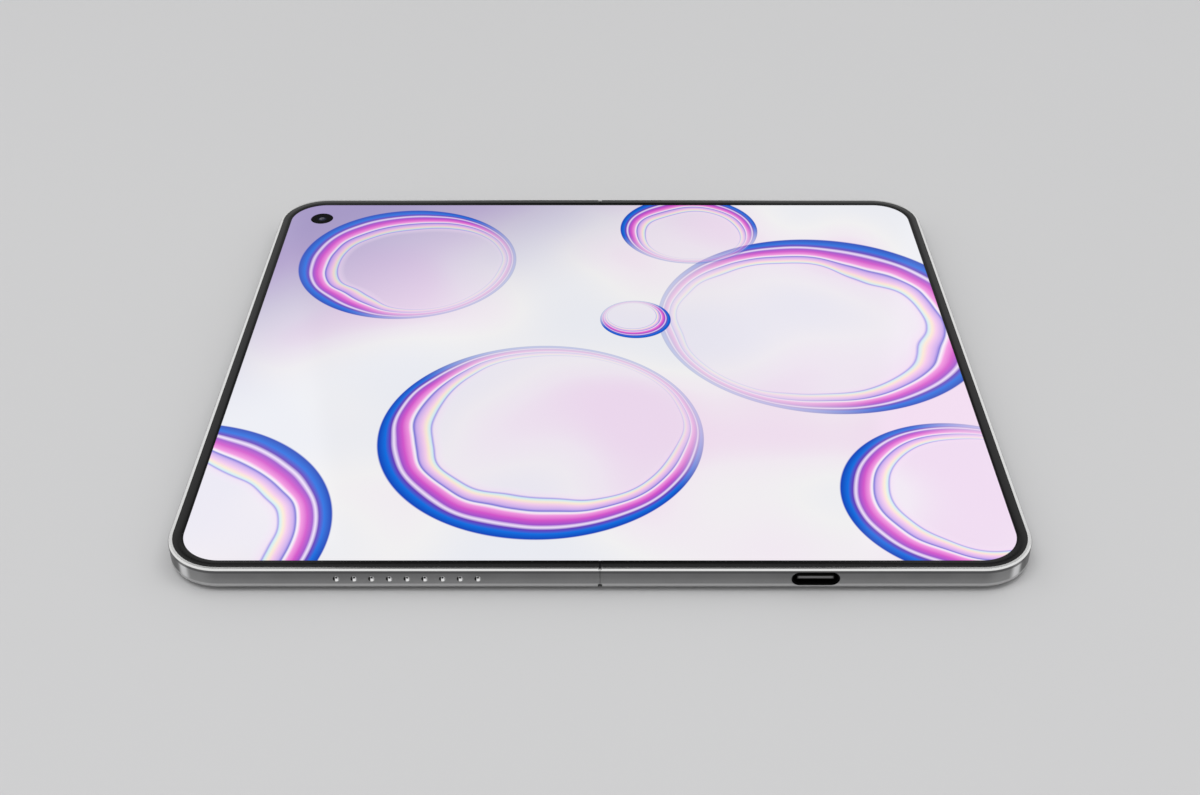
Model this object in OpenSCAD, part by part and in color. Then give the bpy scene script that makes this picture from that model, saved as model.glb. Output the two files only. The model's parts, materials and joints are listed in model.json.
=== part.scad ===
// Book-style foldable smartphone, lying open on its back.
// X runs across both halves, Y along the fold away from the reader, Z up out of the display.
// The origin is under the middle of the fold, on the surface the phone lies on.

/* [Body] */
// Width of the phone when open, across both halves
open_w = 160; // [156:1:168]
// Length of the phone along the fold
body_d = 143; // [139:1:150]
// Thickness of one half, from back glass to rim
body_t = 4.2; // [4.2:0.05:4.6]
// Radius of the four outer corners, seen from above
corner_r = 10.8; // [9.5:0.1:12]
// Thickness of the side walls
wall_t = 1.2; // [1.1:0.05:1.35]
// Chamfer along the display side of the rim
rim_chamfer = 0.36; // [0.25:0.01:0.45]
// Rounding along the back edge of the frames
back_round = 0.5; // [0.3:0.05:0.6]
// Width of the metal rim around the display
rim_w = 0.8; // [0.7:0.05:0.9]
// Width of the metal rim around the back glass
back_rim_w = 0.7; // [0.6:0.05:0.8]
// Thickness of the glass on the backs
glass_t = 0.55; // [0.45:0.05:0.6]
// Thickness of the plate under the display
mid_plate_t = 0.4; // [0.35:0.01:0.45]

/* [Display] */
// Width of the black border between the rim and the picture
bezel_w = 2.0; // [1.8:0.1:2.4]
// Depth of the display below the rim
screen_drop = 0.2; // [0.17:0.01:0.22]
// Thickness of the folding display panel
panel_t = 0.4; // [0.36:0.01:0.42]
// Thickness of the steel support plates
support_t = 0.2; // [0.15:0.01:0.22]
// Distance of the support plates from the fold, which leaves the display room to curl
support_x = 2.8; // [2.6:0.1:3.4]
// Thickness of the bezel trim
trim_t = 0.15; // [0.1:0.01:0.16]
// Distance from the fold to where the panel stays flat
bend_half_w = 4; // [3.9:0.1:5]
// Diameter of the camera hole in the display
punch_d = 5.6; // [5:0.1:5.8]
// Distance of the camera hole from the side edge
punch_from_side = 10.25; // [9.8:0.05:10.8]
// Distance of the camera hole from the far edge
punch_from_far = 9.8; // [9.5:0.05:10.5]

/* [Fold] */
// Width of the seam between the halves
seam_w = 0.24; // [0.2:0.01:0.28]
// Radius of the half-round spine
spine_r = 3.6; // [3.5:0.02:3.62]
// Thickness of the spine shell
spine_wall = 0.35; // [0.3:0.01:0.38]
// Gap between the spine and the halves
spine_gap = 0.15; // [0.13:0.01:0.17]
// Chamfer on the frame edges along the seam
seam_chamfer = 0.25; // [0.15:0.01:0.3]
// Width of the solid strip beside the seam that carries the hinge
web_w = 9.5; // [9.4:0.1:10]
// Distance of each hinge base from the end of the fold
base_from_end = 26.5; // [23.5:0.5:28.5]
// Width of one hinge arm
arm_w = 8; // [7:0.1:8.2]
// Thickness of the hinge arms
arm_t = 0.4; // [0.35:0.01:0.42]
// Inner radius of the curved slider on each hinge arm
slider_r = 1.9; // [1.85:0.01:1.95]
// Thickness of the curved slider
slider_t = 0.8; // [0.7:0.01:0.85]

/* [Synchroniser] */
// Distance of the outer gear shafts from the fold
gear_x = 1.8; // [1.75:0.01:1.82]
// Number of teeth on each gear
gear_teeth = 10; // [10:2:10]
// Length of the gears
gear_l = 2; // [1.5:0.1:2.2]
// Width of the geared arms
sync_w = 3; // [2.5:0.1:3.2]
// Diameter of the gear shafts
shaft_d = 0.56; // [0.5:0.01:0.58]

/* [Ports and keys] */
// Distance of the charging port from the side edge
port_from_side = 41; // [36:0.2:44]
// Width of the charging port in the frame
port_w = 8.8; // [8.76:0.01:9]
// Height of the charging port in the frame
port_h = 3.02; // [2.98:0.01:3.08]
// Depth of the charging port behind its mouth
port_depth = 7; // [6.8:0.1:7.5]
// Wall of the port's metal shell
port_shell_t = 0.18; // [0.16:0.01:0.2]
// Width of the contact tongue in the port
tongue_w = 6.7; // [6.5:0.05:6.8]
// Thickness of the contact tongue
tongue_t = 0.7; // [0.6:0.02:0.74]
// Number of speaker holes
speaker_holes = 9; // [7:2:9]
// Spacing of the speaker holes
speaker_pitch = 3.2; // [3:0.05:3.3]
// Diameter of the speaker holes
speaker_hole_d = 1.2; // [1:0.05:1.3]
// Distance of the middle speaker hole from the side edge
speaker_from_side = 45.1; // [43:0.1:47]
// Length of the volume rocker
volume_l = 17; // [15:0.5:18]
// Distance of the volume rocker's middle from the far edge
volume_from_far = 33; // [31.5:0.5:34.5]
// Length of the power key
power_l = 10; // [9:0.5:11]
// Distance of the power key's middle from the far edge
power_from_far = 51; // [50:0.5:52]
// Height of the keys
key_h = 1.9; // [1.6:0.05:2]
// How far the keys stand out of the edge
key_out = 0.22; // [0.15:0.01:0.28]
// Length of the SIM tray's face
tray_l = 10.4; // [10:0.1:10.8]
// Height of the SIM tray's face
tray_h = 1.7; // [1.5:0.05:1.8]
// Distance of the SIM tray's middle from the far edge
tray_from_far = 24.5; // [23.5:0.5:26.5]
// Depth of the SIM tray
tray_depth = 14; // [13:0.5:15]

/* [Cameras] */
// How far the camera island stands out of the back, with its lens rings
island_h = 0.9; // [0.8:0.05:1.1]
// Width of the camera island
island_w = 17; // [16:0.5:18]
// Distance of the camera island from the side edge
island_from_side = 16; // [15.5:0.5:17]
// Distance between the rear cameras
camera_pitch = 15; // [14.5:0.5:15]
// Distance of the first rear camera from the far edge
camera_from_far = 14.5; // [14:0.5:15.5]
// Outer diameter of the lens rings
lens_ring_d = 12; // [11:0.2:12.4]
// Width of the lens rings
lens_ring_w = 1.1; // [0.9:0.1:1.2]
// Width of the main rear camera's housing
main_camera_w = 13; // [12.5:0.1:13.4]
// Width of the two other rear cameras' housings
camera_w = 12; // [11:0.1:12.4]
// Width of the inner camera's housing
inner_camera_w = 6.6; // [6.4:0.1:7]

/* [Inside] */
// Gap between the side walls and the batteries
cell_from_side = 4; // [3.5:0.1:5]
// Gap between the near wall and the batteries
cell_from_near = 17.8; // [17:0.1:19]
// Gap between the batteries and the boards
cell_board_gap = 3; // [2:0.1:4]
// Thickness of the circuit boards
board_t = 0.6; // [0.5:0.05:0.7]
// Height of the main shield cans
shield_h = 1; // [0.8:0.05:1.1]
// Outer diameter of the charging coil
coil_d = 42; // [36:1:48]
// Inner diameter of the charging coil
coil_hole_d = 24; // [18:1:28]
// Width of the vibration motor
motor_w = 10; // [8:0.5:11]
// Width of the top speaker
top_speaker_w = 15; // [13:0.5:16]
// Depth of the top speaker
top_speaker_d = 8.1; // [7.5:0.1:8.5]

/* [Hidden] */

$fn = 64;

// Heights. The backs of the halves stand clear of the ground by the camera island.
back_z = island_h;
top_z = back_z + body_t;
panel_top_z = top_z - screen_drop;
panel_z = panel_top_z - panel_t;
support_z = panel_z - support_t;
floor_z = support_z - mid_plate_t;
seat = 0.05;                        // clearance of pieces laid in a recess
glass_z = back_z + glass_t + seat;  // inner side of the glass recess

// Plan sizes
half_w = open_w / 2;
half_d = body_d / 2;
pivot_x = seam_w / 2;
cavity_r = spine_r + spine_gap;
glass_x = 2.3;                      // where the back glass starts beside the seam
bay_x = web_w;                      // where the component bay starts
bay_edge_x = half_w - wall_t;
bay_edge_y = half_d - wall_t;
picture_inset = rim_w + bezel_w;
bay_gap = 0.5;                      // gap between the bay's walls and what lies in it
base_y = half_d - base_from_end;

// Spine and hinge
spine_top_z = support_z - 0.1;
spine_in_r = spine_r - spine_wall;
spine_half_l = half_d - wall_t - spine_gap;
end_wall_t = 0.6;
fill_r = spine_in_r - seat;         // what lies in the shell
arm_top_z = support_z - 0.15;
arm_z = arm_top_z - arm_t;
arm_clear = 0.1;
arm_foot_x = 9;
notch_z = arm_z - arm_clear;
notch_gap = 0.2;
arm_gap = 1;                        // between the two arms of a hinge base
base_end = 1;                       // wall of a base beyond its arms
run_gap = 0.05;                     // running clearance in the curved groove
slider_from = 205;
slider_to = 325;
arm_screw_x = 6.6;
arm_screw_y = 2.2;
arm_foot_from = 3;                  // where the pockets for arms and cable open into the hinge cavity
base_half_l = arm_gap / 2 + arm_w + base_end;

// Synchroniser: four equal gears in a row
gear_pitch_r = gear_x / 3;
gear_module = 2 * gear_pitch_r / gear_teeth;
gear_out_r = gear_pitch_r + gear_module;
gear_root_r = gear_pitch_r - 1.2 * gear_module;
gear_z = top_z - (gear_x - pivot_x);
gear_bore_r = shaft_d / 2 + 0.03;
idler_l = gear_l - 0.1;                 // idlers run clear of the collars on the geared arms
hub_r = gear_root_r + 0.06;
sync_z = gear_z + hub_r - arm_t;
sync_y = gear_l / 2 + 0.1;
sync_out_x = 8;
sync_dip = 0.4143 * (gear_x - pivot_x);
bracket_t = 1;
bracket_gap = 0.3;
bracket_near_y = -gear_l / 2 - bracket_gap;
bracket_far_y = sync_y + sync_w + bracket_gap;

// Flex cable across the hinge
flex_w = 7;
flex_t = 0.12;
flex_z = support_z - 0.24;
flex_reach = web_w + 1.2;
flex_slack = 0.2;
flex_inset = 0.5;                   // from the boards' near edge to the cable

// Ports and keys
mid_z = back_z + body_t / 2;
port_x = half_w - port_from_side;
speaker_x = half_w - speaker_from_side;
volume_y = half_d - volume_from_far;
power_y = half_d - power_from_far;
tray_y = half_d - tray_from_far;
mic_hole_r = 0.5;
mic_from_side = 26.5;
port_mouth = 0.3;                   // how far the port's shell lies behind the wall's face
port_back = port_mouth + port_depth + 0.3;
tongue_tip = 0.15;                  // how far the tongue's tip lies behind the shell's mouth
tongue_root = 1.4;                  // depth of the block that holds the tongue
tray_pin_inset = 1.6;               // place of the eject hole in the tray's face
tray_near_y = tray_y - tray_l / 2 + 0.6;
tray_far_y = tray_y + tray_l / 2 - tray_pin_inset - 0.6;
tray_bar = 0.8;                     // width of the tray's frame round the card
key_gap = 0.05;
key_flange_t = 0.4;
key_flange_gap = 0.25;
key_flange_lip = 0.75;
key_pin_r = 0.3;                    // pin that the volume rocker rocks on

// Cameras
camera_x = half_w - island_from_side;
camera_y = [for (i = [0:2]) half_d - camera_from_far - i * camera_pitch];
island_plate_z = 0.15;
lens_seat_z = 0.5;
lens_hole_r = lens_ring_d / 2 - lens_ring_w - 0.6;
neck_inset = 1;
island_half_l = camera_pitch + island_w / 2;
flash_x = camera_x - island_w / 2 - 5;
flash_d = 4.2;
punch_x = half_w - punch_from_side;
punch_y = half_d - punch_from_far;
cover_camera_x = (half_w + glass_x) / 2;
cover_camera_y = half_d - 7.5;
cover_hole_d = 4;

// Boards, batteries and what else lies in the bays
board_top_z = floor_z - 0.4;
board_z = board_top_z - board_t;
cell_top_z = floor_z - seat;
cell_x = bay_x + 1.5;
cell_far_x = bay_edge_x - cell_from_side;
cells_far_y = camera_y[2] - camera_w / 2 - 1;
cells_near_y = -bay_edge_y + cell_from_near;
boards_y = cells_far_y + cell_board_gap;
board_x = bay_x + bay_gap;
boards_far_y = bay_edge_y - bay_gap;
flex_y = boards_y + flex_inset + flex_w / 2;
camera_board_gap = 1.5;
main_board_x = camera_x - main_camera_w / 2 - camera_board_gap;
tray_board_gap = 4.5;
left_board_x = half_w - tray_depth - tray_board_gap;
cell_end_gap = 2;                   // gap between the batteries and what lies at the near wall
sub_far_y = cells_near_y - cell_end_gap;
motor_board_gap = 4;
sub_board_from_side = 16;
sub_board_x = [cell_x + motor_w + motor_board_gap, bay_edge_x - sub_board_from_side];
can_gap = 1.5;                      // gap between the shield cans
can_edge = 3;                       // strip of board beside the cans
can_strip = 5.5;                    // strip of board beside the fold for the screws and the cable
can_x = board_x + can_strip;
small_can_h = 0.8 * shield_h;
top_speaker_from_bay = 6.5;
top_speaker_x = bay_x + top_speaker_from_bay;
screw_r = 0.45;
screw_head_r = 0.9;
screw_head_h = 0.35;
screw_inset = 2.5;                  // from a board's edge to its screws
screw_step = 12;                    // from the main board's side edge to its far screw
boss_r = 1.4;
right_screws = [[board_x + screw_inset, boards_y + screw_inset],
                [board_x + screw_inset, boards_far_y - top_speaker_d - screw_inset],
                [main_board_x - screw_step, boards_far_y - screw_inset],
                [sub_board_x[0] + screw_inset, sub_far_y - screw_inset],
                [sub_board_x[1] - screw_inset, sub_far_y - screw_inset]];
left_screws = [for (x = [board_x + screw_inset, left_board_x - screw_inset],
                    y = [boards_y + screw_inset, boards_far_y - screw_inset]) [x, y]];

metal = "silver";
dark = "#25262a";
steel = "#b9bcc0";
green = "#1e5a3c";
gold = "#c79a4b";
black = "#0c0c0e";

// ---------- Outlines and blanks ----------

// Outline of the right half seen from above, drawn in from its outer edges
module half_outline(inset, from_x) {
    r = corner_r - inset;
    out_x = half_w - inset;
    out_y = half_d - inset;
    translate([from_x, -out_y]) square([out_x - r - from_x, 2 * out_y]);
    translate([out_x - r, r - out_y]) square([r, 2 * (out_y - r)]);
    for (s = [-1, 1])
        translate([out_x - r, s * (out_y - r)])
            intersection() {
                circle(r = r, $fn = 96);
                translate([0, s > 0 ? 0 : -r]) square(r);
            }
}

module half_plate(inset, from_x, z0, z1) {
    translate([0, 0, z0]) linear_extrude(height = z1 - z0) half_outline(inset, from_x);
}

// Side of a frame, from a line at reach inwards, with its chamfered rim and rounded back edge
module edge_profile(reach) {
    polygon([[0, back_z], [reach - back_round, back_z],
             [reach - 0.29 * back_round, back_z + 0.29 * back_round],
             [reach, back_z + back_round], [reach, top_z - rim_chamfer],
             [reach - rim_chamfer, top_z], [0, top_z]]);
}

module half_blank() {
    corner_x = half_w - corner_r;
    corner_y = half_d - corner_r;
    for (s = [0, 1])
        mirror([0, s, 0])
            translate([pivot_x, 0, 0])
                rotate([90, 0, 90])
                    linear_extrude(height = corner_x - pivot_x) edge_profile(half_d);
    translate([corner_x, 0, 0])
        rotate([90, 0, 0])
            linear_extrude(height = 2 * corner_y, center = true) edge_profile(corner_r);
    for (s = [0, 1])
        mirror([0, s, 0])
            translate([corner_x, corner_y, 0])
                rotate_extrude(angle = 90, $fn = 96) edge_profile(corner_r);
}

// Box given by its corners, with rounded upright edges
module rounded_box(x0, x1, y0, y1, z0, z1, r) {
    translate([0, 0, z0])
        linear_extrude(height = z1 - z0) {
            translate([x0 + r, y0]) square([x1 - x0 - 2 * r, y1 - y0]);
            for (s = [0, 1])
                translate([s == 0 ? x0 : x1 - r, y0 + r]) square([r, y1 - y0 - 2 * r]);
            for (x = [x0 + r, x1 - r], y = [y0 + r, y1 - r])
                translate([x, y])
                    intersection() {
                        circle(r = r, $fn = 48);
                        translate([x < (x0 + x1) / 2 ? -r : 0, y < (y0 + y1) / 2 ? -r : 0]) square(r);
                    }
        }
}

module block(x0, x1, y0, y1, z0, z1) {
    translate([x0, y0, z0]) cube([x1 - x0, y1 - y0, z1 - z0]);
}

// Oval bar with round ends, lying across Y, centred on x and z
module oval_along_y(w, h, y0, y1, x, z) {
    translate([x, y1, z])
        rotate([90, 0, 0])
            linear_extrude(height = y1 - y0) {
                square([w - h, h], center = true);
                for (s = [-1, 1])
                    translate([s * (w - h) / 2, 0])
                        intersection() {
                            circle(r = h / 2, $fn = 48);
                            translate([s > 0 ? 0 : -h / 2, -h / 2]) square([h / 2, h]);
                        }
            }
}

// Oval bar with round ends, lying across X, centred on y and z
module oval_along_x(l, h, x0, x1, y, z) {
    translate([0, y, 0])
        rotate([0, 0, 90])
            mirror([0, 1, 0])
                oval_along_y(l, h, x0, x1, 0, z);
}

module rod_y(r, y0, y1, x, z) {
    translate([x, y1, z]) rotate([90, 0, 0]) cylinder(r = r, h = y1 - y0);
}

module screw(x, y, head_z, tip_z) {
    translate([x, y, head_z - screw_head_h]) cylinder(r = screw_head_r, h = screw_head_h, $fn = 32);
    translate([x, y, head_z]) cylinder(r = screw_r - 0.03, h = tip_z - head_z, $fn = 32);
}

// ---------- Frames ----------

// Middle of an arm along the fold: the right half (side 1) has the outer arms, the left half (-1) the inner ones
function arm_y(side, s) = s * (base_y + side * (arm_gap + arm_w) / 2);

// Frame half without the cuts that only one side has
module frame_half(side, screws) {
    difference() {
        union() {
            difference() {
                half_blank();
                half_plate(rim_w, 0, support_z, top_z + 1);
                half_plate(back_rim_w, glass_x, back_z - 1, glass_z);
                half_plate(wall_t, bay_x, glass_z - 1, floor_z);
                translate([pivot_x, 0, top_z])
                    rotate([90, 0, 0])
                        cylinder(r = cavity_r, h = 2 * (half_d - wall_t), center = true, $fn = 96);
            }
            for (p = screws)
                translate([p[0], p[1], board_top_z])
                    cylinder(r = boss_r, h = floor_z - board_top_z + 0.1, $fn = 32);
        }
        seam_bevels();
        for (s = [-1, 1])
            pocket(arm_foot_x + 0.2, arm_y(side, s), arm_w / 2 + arm_clear, arm_z);
        pocket(sync_out_x + 0.3, sync_y + sync_w / 2, sync_w / 2 + arm_clear, sync_z - sync_dip - 0.25);
        pocket(flex_reach + flex_slack, flex_y, flex_w / 2 + flex_slack, flex_z - 0.12);
        block(bay_x - flex_slack, flex_reach + flex_slack, flex_y - flex_w / 2 - flex_slack,
              flex_y + flex_w / 2 + flex_slack, floor_z - 0.1, support_z + 0.1);
        for (p = screws)
            translate([p[0], p[1], board_top_z - 0.1])
                cylinder(r = screw_r, h = floor_z - board_top_z + 0.3, $fn = 32);
        at_arm_screws(side) translate([0, 0, arm_z - 1]) cylinder(r = screw_r, h = 1.1, $fn = 32);
    }
}

module at_arm_screws(side) {
    for (s = [-1, 1], t = [-1, 1])
        translate([arm_screw_x, arm_y(side, s) + t * arm_screw_y, 0]) children();
}

module seam_bevels() {
    for (z = [back_z, top_z])
        translate([pivot_x, 0, z])
            rotate([0, 45, 0])
                cube([seam_chamfer * sqrt(2), 2 * half_d + 1, seam_chamfer * sqrt(2)], center = true);
}

// Pocket in the hinge strip of a frame, open towards the seam and towards the display
module pocket(to_x, y, half_l, z) {
    block(arm_foot_from, to_x, y - half_l, y + half_l, z, top_z);
}

module right_frame() {
    color(metal)
        difference() {
            frame_half(1, right_screws);
            oval_along_y(port_w, port_h, -half_d - 1, -half_d + port_back, port_x, mid_z);
            key_slot(volume_l, volume_y);
            key_slot(power_l, power_y);
            for (i = [-2:2])
                rod_y(speaker_hole_d / 2, bay_edge_y - 1, half_d + 1,
                      top_speaker_x + top_speaker_w / 2 + i * speaker_pitch, mid_z);
            rod_y(mic_hole_r, bay_edge_y - 1, half_d + 1, half_w - mic_from_side, mid_z);
        }
}

module left_frame() {
    color(metal)
        difference() {
            mirror([1, 0, 0]) frame_half(-1, left_screws);
            for (i = [0:speaker_holes - 1])
                rod_y(speaker_hole_d / 2, -half_d - 1, -bay_edge_y + 1,
                      -speaker_x + (i - (speaker_holes - 1) / 2) * speaker_pitch, mid_z);
            oval_along_x(tray_l + 2 * key_gap, tray_h + 2 * key_gap, -half_w - 1, -bay_edge_x + 1,
                         tray_y, mid_z);
            translate([-punch_x, punch_y, floor_z - 1])
                cylinder(d = punch_d, h = support_z - floor_z + 2);
        }
}

module key_slot(l, y) {
    oval_along_x(l + 2 * key_gap, key_h + 2 * key_gap, bay_edge_x - 1, half_w + 1, y, mid_z);
}

// ---------- Glass and camera island ----------

module island_outline(inset) {
    r = island_w / 2 - inset;
    translate([camera_x, camera_y[1]]) {
        square([2 * r, 2 * camera_pitch], center = true);
        for (s = [-1, 1])
            translate([0, s * camera_pitch])
                intersection() {
                    circle(r = r, $fn = 96);
                    translate([-r, s > 0 ? 0 : -r]) square([2 * r, r]);
                }
    }
}

module back_glass() {
    color(dark)
        difference() {
            half_plate(back_rim_w + seat, glass_x + seat, back_z, glass_z - seat);
            translate([0, 0, back_z - 1])
                linear_extrude(height = glass_t + 2) island_outline(neck_inset - seat);
            translate([flash_x, camera_y[0], back_z - 1]) cylinder(d = flash_d, h = glass_t + 2);
        }
}

module cover_glass() {
    color(black)
        difference() {
            mirror([1, 0, 0]) half_plate(back_rim_w + seat, glass_x + seat, back_z, glass_z - seat);
            translate([-cover_camera_x, cover_camera_y, back_z - 1])
                cylinder(d = cover_hole_d, h = glass_t + 2);
        }
}

module camera_island() {
    color(steel)
        difference() {
            union() {
                translate([0, 0, island_plate_z])
                    linear_extrude(height = back_z - island_plate_z) island_outline(0);
                translate([0, 0, back_z]) linear_extrude(height = glass_t) island_outline(neck_inset);
            }
            for (y = camera_y) {
                translate([camera_x, y, island_plate_z - 1])
                    cylinder(d = lens_ring_d + 2 * seat, h = lens_seat_z - island_plate_z + 1);
                translate([camera_x, y, 0]) cylinder(r = lens_hole_r, h = back_z + glass_t + 1);
            }
        }
}

module camera_rings() {
    color(metal)
        for (y = camera_y)
            translate([camera_x, y, 0])
                difference() {
                    cylinder(d = lens_ring_d, h = lens_seat_z);
                    translate([0, 0, -1]) cylinder(r = lens_ring_d / 2 - lens_ring_w, h = lens_seat_z + 2);
                }
}

module camera_windows() {
    color(black)
        for (y = camera_y)
            translate([camera_x, y, 0.12])
                cylinder(r = lens_ring_d / 2 - lens_ring_w - seat, h = lens_seat_z - 0.12);
}

// Camera module: a square housing with a barrel that reaches into the island
module camera_module(y, side, barrel_r) {
    rounded_box(camera_x - side / 2, camera_x + side / 2, y - side / 2, y + side / 2,
                glass_z + 0.2, cell_top_z, 1);
    translate([camera_x, y, lens_seat_z + 0.1]) cylinder(r = barrel_r, h = glass_z - lens_seat_z + 0.2);
}

module main_camera() { color(dark) camera_module(camera_y[0], main_camera_w, lens_hole_r - 0.1); }

module wide_camera() { color(dark) camera_module(camera_y[1], camera_w, lens_hole_r - 0.3); }

module tele_camera() { color(dark) camera_module(camera_y[2], camera_w, lens_hole_r - 0.5); }

module flash_window() {
    color("#f2e6b8")
        translate([flash_x, camera_y[0], back_z]) cylinder(d = flash_d - 2 * seat, h = glass_t);
}

module cover_camera_window() {
    color(black)
        translate([-cover_camera_x, cover_camera_y, back_z]) cylinder(d = cover_hole_d - 2 * seat, h = glass_t);
}

module cover_camera() {
    color(dark) {
        rounded_box(-cover_camera_x - cover_hole_d / 2 - 1, -cover_camera_x + cover_hole_d / 2 + 1,
                    cover_camera_y - cover_hole_d / 2 - 1, cover_camera_y + cover_hole_d / 2 + 1,
                    glass_z + 0.5, board_z - seat, 0.5);
        translate([-cover_camera_x, cover_camera_y, glass_z])
            cylinder(r = cover_hole_d / 2 - 0.3, h = 0.6);
    }
}

// ---------- What the bays hold ----------

module battery(z0) {
    rounded_box(cell_x, cell_far_x, cells_near_y, cells_far_y, z0, cell_top_z, 2);
}

module right_battery() { color("#33363c") battery(glass_z + 0.3); }

module left_battery() { color("#33363c") mirror([1, 0, 0]) battery(glass_z + 0.4); }

module charging_coil() {
    color(gold)
        translate([(cell_x + cell_far_x) / 2, (cells_near_y + cells_far_y) / 2, glass_z])
            difference() {
                cylinder(d = coil_d, h = 0.3);
                translate([0, 0, -1]) cylinder(d = coil_hole_d, h = 3);
            }
}

module screw_holes(screws) {
    for (p = screws) translate([p[0], p[1], board_z - 1]) cylinder(r = screw_r + 0.1, h = 3, $fn = 32);
}

// The main board is cut back round the top speaker
module main_board() {
    color(green)
        difference() {
            block(board_x, main_board_x, boards_y, boards_far_y, board_z, board_top_z);
            block(top_speaker_x - bay_gap, top_speaker_x + top_speaker_w + bay_gap,
                  bay_edge_y - top_speaker_d - bay_gap, half_d, board_z - 1, board_top_z + 1);
            screw_holes(right_screws);
        }
}

module can(x0, x1, y0, y1, h) {
    rounded_box(x0, x1, y0, y1, board_z - h, board_z, 0.6);
}

module main_shields() {
    split_x = top_speaker_x + top_speaker_w + can_edge + can_gap;
    split_y = (boards_y + boards_far_y) / 2;
    color(steel) {
        can(can_x, split_x - can_gap, boards_y + can_edge, bay_edge_y - top_speaker_d - can_edge, shield_h);
        can(split_x, main_board_x - can_gap, boards_y + can_edge, split_y, shield_h);
        can(split_x, flash_x - flash_d, split_y + can_gap, boards_far_y - 2 * can_edge, shield_h);
    }
}

module sub_board() {
    color(green)
        difference() {
            block(sub_board_x[0], sub_board_x[1], -bay_edge_y + bay_gap, sub_far_y, board_z, board_top_z);
            block(port_x - port_w / 2 - seat, port_x + port_w / 2 + seat, -half_d,
                  -half_d + port_back, board_z - 1, board_top_z + 1);
            screw_holes(right_screws);
        }
}

module usb_shell() {
    w = port_w - 2 * seat;
    h = port_h - 2 * seat;
    mouth_y = -half_d + port_mouth;
    color(steel)
        difference() {
            oval_along_y(w, h, mouth_y, mouth_y + port_depth, port_x, mid_z);
            oval_along_y(w - 2 * port_shell_t, h - 2 * port_shell_t, mouth_y - 1,
                         mouth_y + port_depth - port_shell_t, port_x, mid_z);
        }
}

module usb_tongue() {
    back_y = -half_d + port_mouth + port_depth - port_shell_t;
    tip_y = -half_d + port_mouth + tongue_tip;
    root_y = back_y - tongue_root;
    w = port_w - 2 * seat - 2 * port_shell_t;
    h = port_h - 2 * seat - 2 * port_shell_t;
    color(dark) {
        block(port_x - tongue_w / 2, port_x + tongue_w / 2, tip_y, root_y, mid_z - tongue_t / 2,
              mid_z + tongue_t / 2);
        oval_along_y(w - 0.04, h - 0.04, root_y, back_y, port_x, mid_z);
    }
}

module vibration_motor() {
    color(steel)
        rounded_box(cell_x, cell_x + motor_w, -bay_edge_y + 1, sub_far_y, glass_z + 0.3, floor_z, 1);
}

module top_speaker() {
    color(dark)
        rounded_box(top_speaker_x, top_speaker_x + top_speaker_w, bay_edge_y - top_speaker_d, bay_edge_y - 0.2,
                    glass_z + 0.3, floor_z, 0.8);
}

module bottom_speaker() {
    l = (speaker_holes - 1) * speaker_pitch / 2 + 5;
    color(dark)
        rounded_box(-speaker_x - l, -speaker_x + l, -bay_edge_y + 0.5, sub_far_y, glass_z + 0.6, floor_z, 1);
}

module speaker_mesh() {
    l = (speaker_holes - 1) * speaker_pitch / 2 + 1.5;
    color("#3a3b3f")
        block(-speaker_x - l, -speaker_x + l, -bay_edge_y, -bay_edge_y + 0.3, mid_z - 0.85, mid_z + 0.85);
}

// Dome switches on their strip, behind the keys
module key_switches() {
    strip_x = bay_edge_x - key_flange_gap - key_flange_t - 1;
    color(gold) {
        block(strip_x - 0.3, strip_x, power_y - power_l / 2, volume_y + volume_l / 2, mid_z - 0.9, floor_z);
        for (y = [power_y, volume_y - volume_l / 3, volume_y + volume_l / 3])
            translate([strip_x, y, mid_z])
                rotate([0, 90, 0])
                    cylinder(r = 0.8, h = 0.6, $fn = 32);
    }
}

module board_screws(screws) {
    for (p = screws) screw(p[0], p[1], board_z, floor_z + 0.1);
}

module right_board_screws() { color(steel) board_screws(right_screws); }

module left_board_screws() { color(steel) mirror([1, 0, 0]) board_screws(left_screws); }

module cover_panel() {
    color("#101216")
        difference() {
            mirror([1, 0, 0]) half_plate(wall_t + 0.2, bay_x + 0.2, glass_z, glass_z + 0.3);
            translate([-cover_camera_x, cover_camera_y, glass_z - 1]) cylinder(d = cover_hole_d, h = 3);
        }
}

module left_board() {
    color(green)
        mirror([1, 0, 0])
            difference() {
                block(board_x, left_board_x, boards_y, boards_far_y, board_z, board_top_z);
                screw_holes(left_screws);
            }
}

module left_shields() {
    color(steel)
        mirror([1, 0, 0]) {
            split_x = (can_x + left_board_x - 2 * can_edge) / 2;
            far_y = cover_camera_y - cover_hole_d - can_gap;
            can(can_x, split_x, boards_y + can_edge, far_y, small_can_h);
            can(split_x + can_gap, left_board_x - 2 * can_edge, boards_y + can_edge, far_y, small_can_h);
        }
}

module inner_camera() {
    color(dark) {
        rounded_box(-punch_x - inner_camera_w / 2, -punch_x + inner_camera_w / 2,
                    punch_y - inner_camera_w / 2, punch_y + inner_camera_w / 2,
                    glass_z + 0.4, cell_top_z, 0.5);
        translate([-punch_x, punch_y, cell_top_z])
            cylinder(d = punch_d - 0.2, h = panel_z - cell_top_z);
    }
}

// Window in the display's camera hole, with its small lens
module inner_camera_window() {
    color(black)
        translate([-punch_x, punch_y, panel_z])
            difference() {
                cylinder(d = punch_d - 0.1, h = panel_t - 0.06);
                translate([0, 0, panel_t - 0.16]) cylinder(r = 0.85, h = 1);
            }
}

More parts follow.
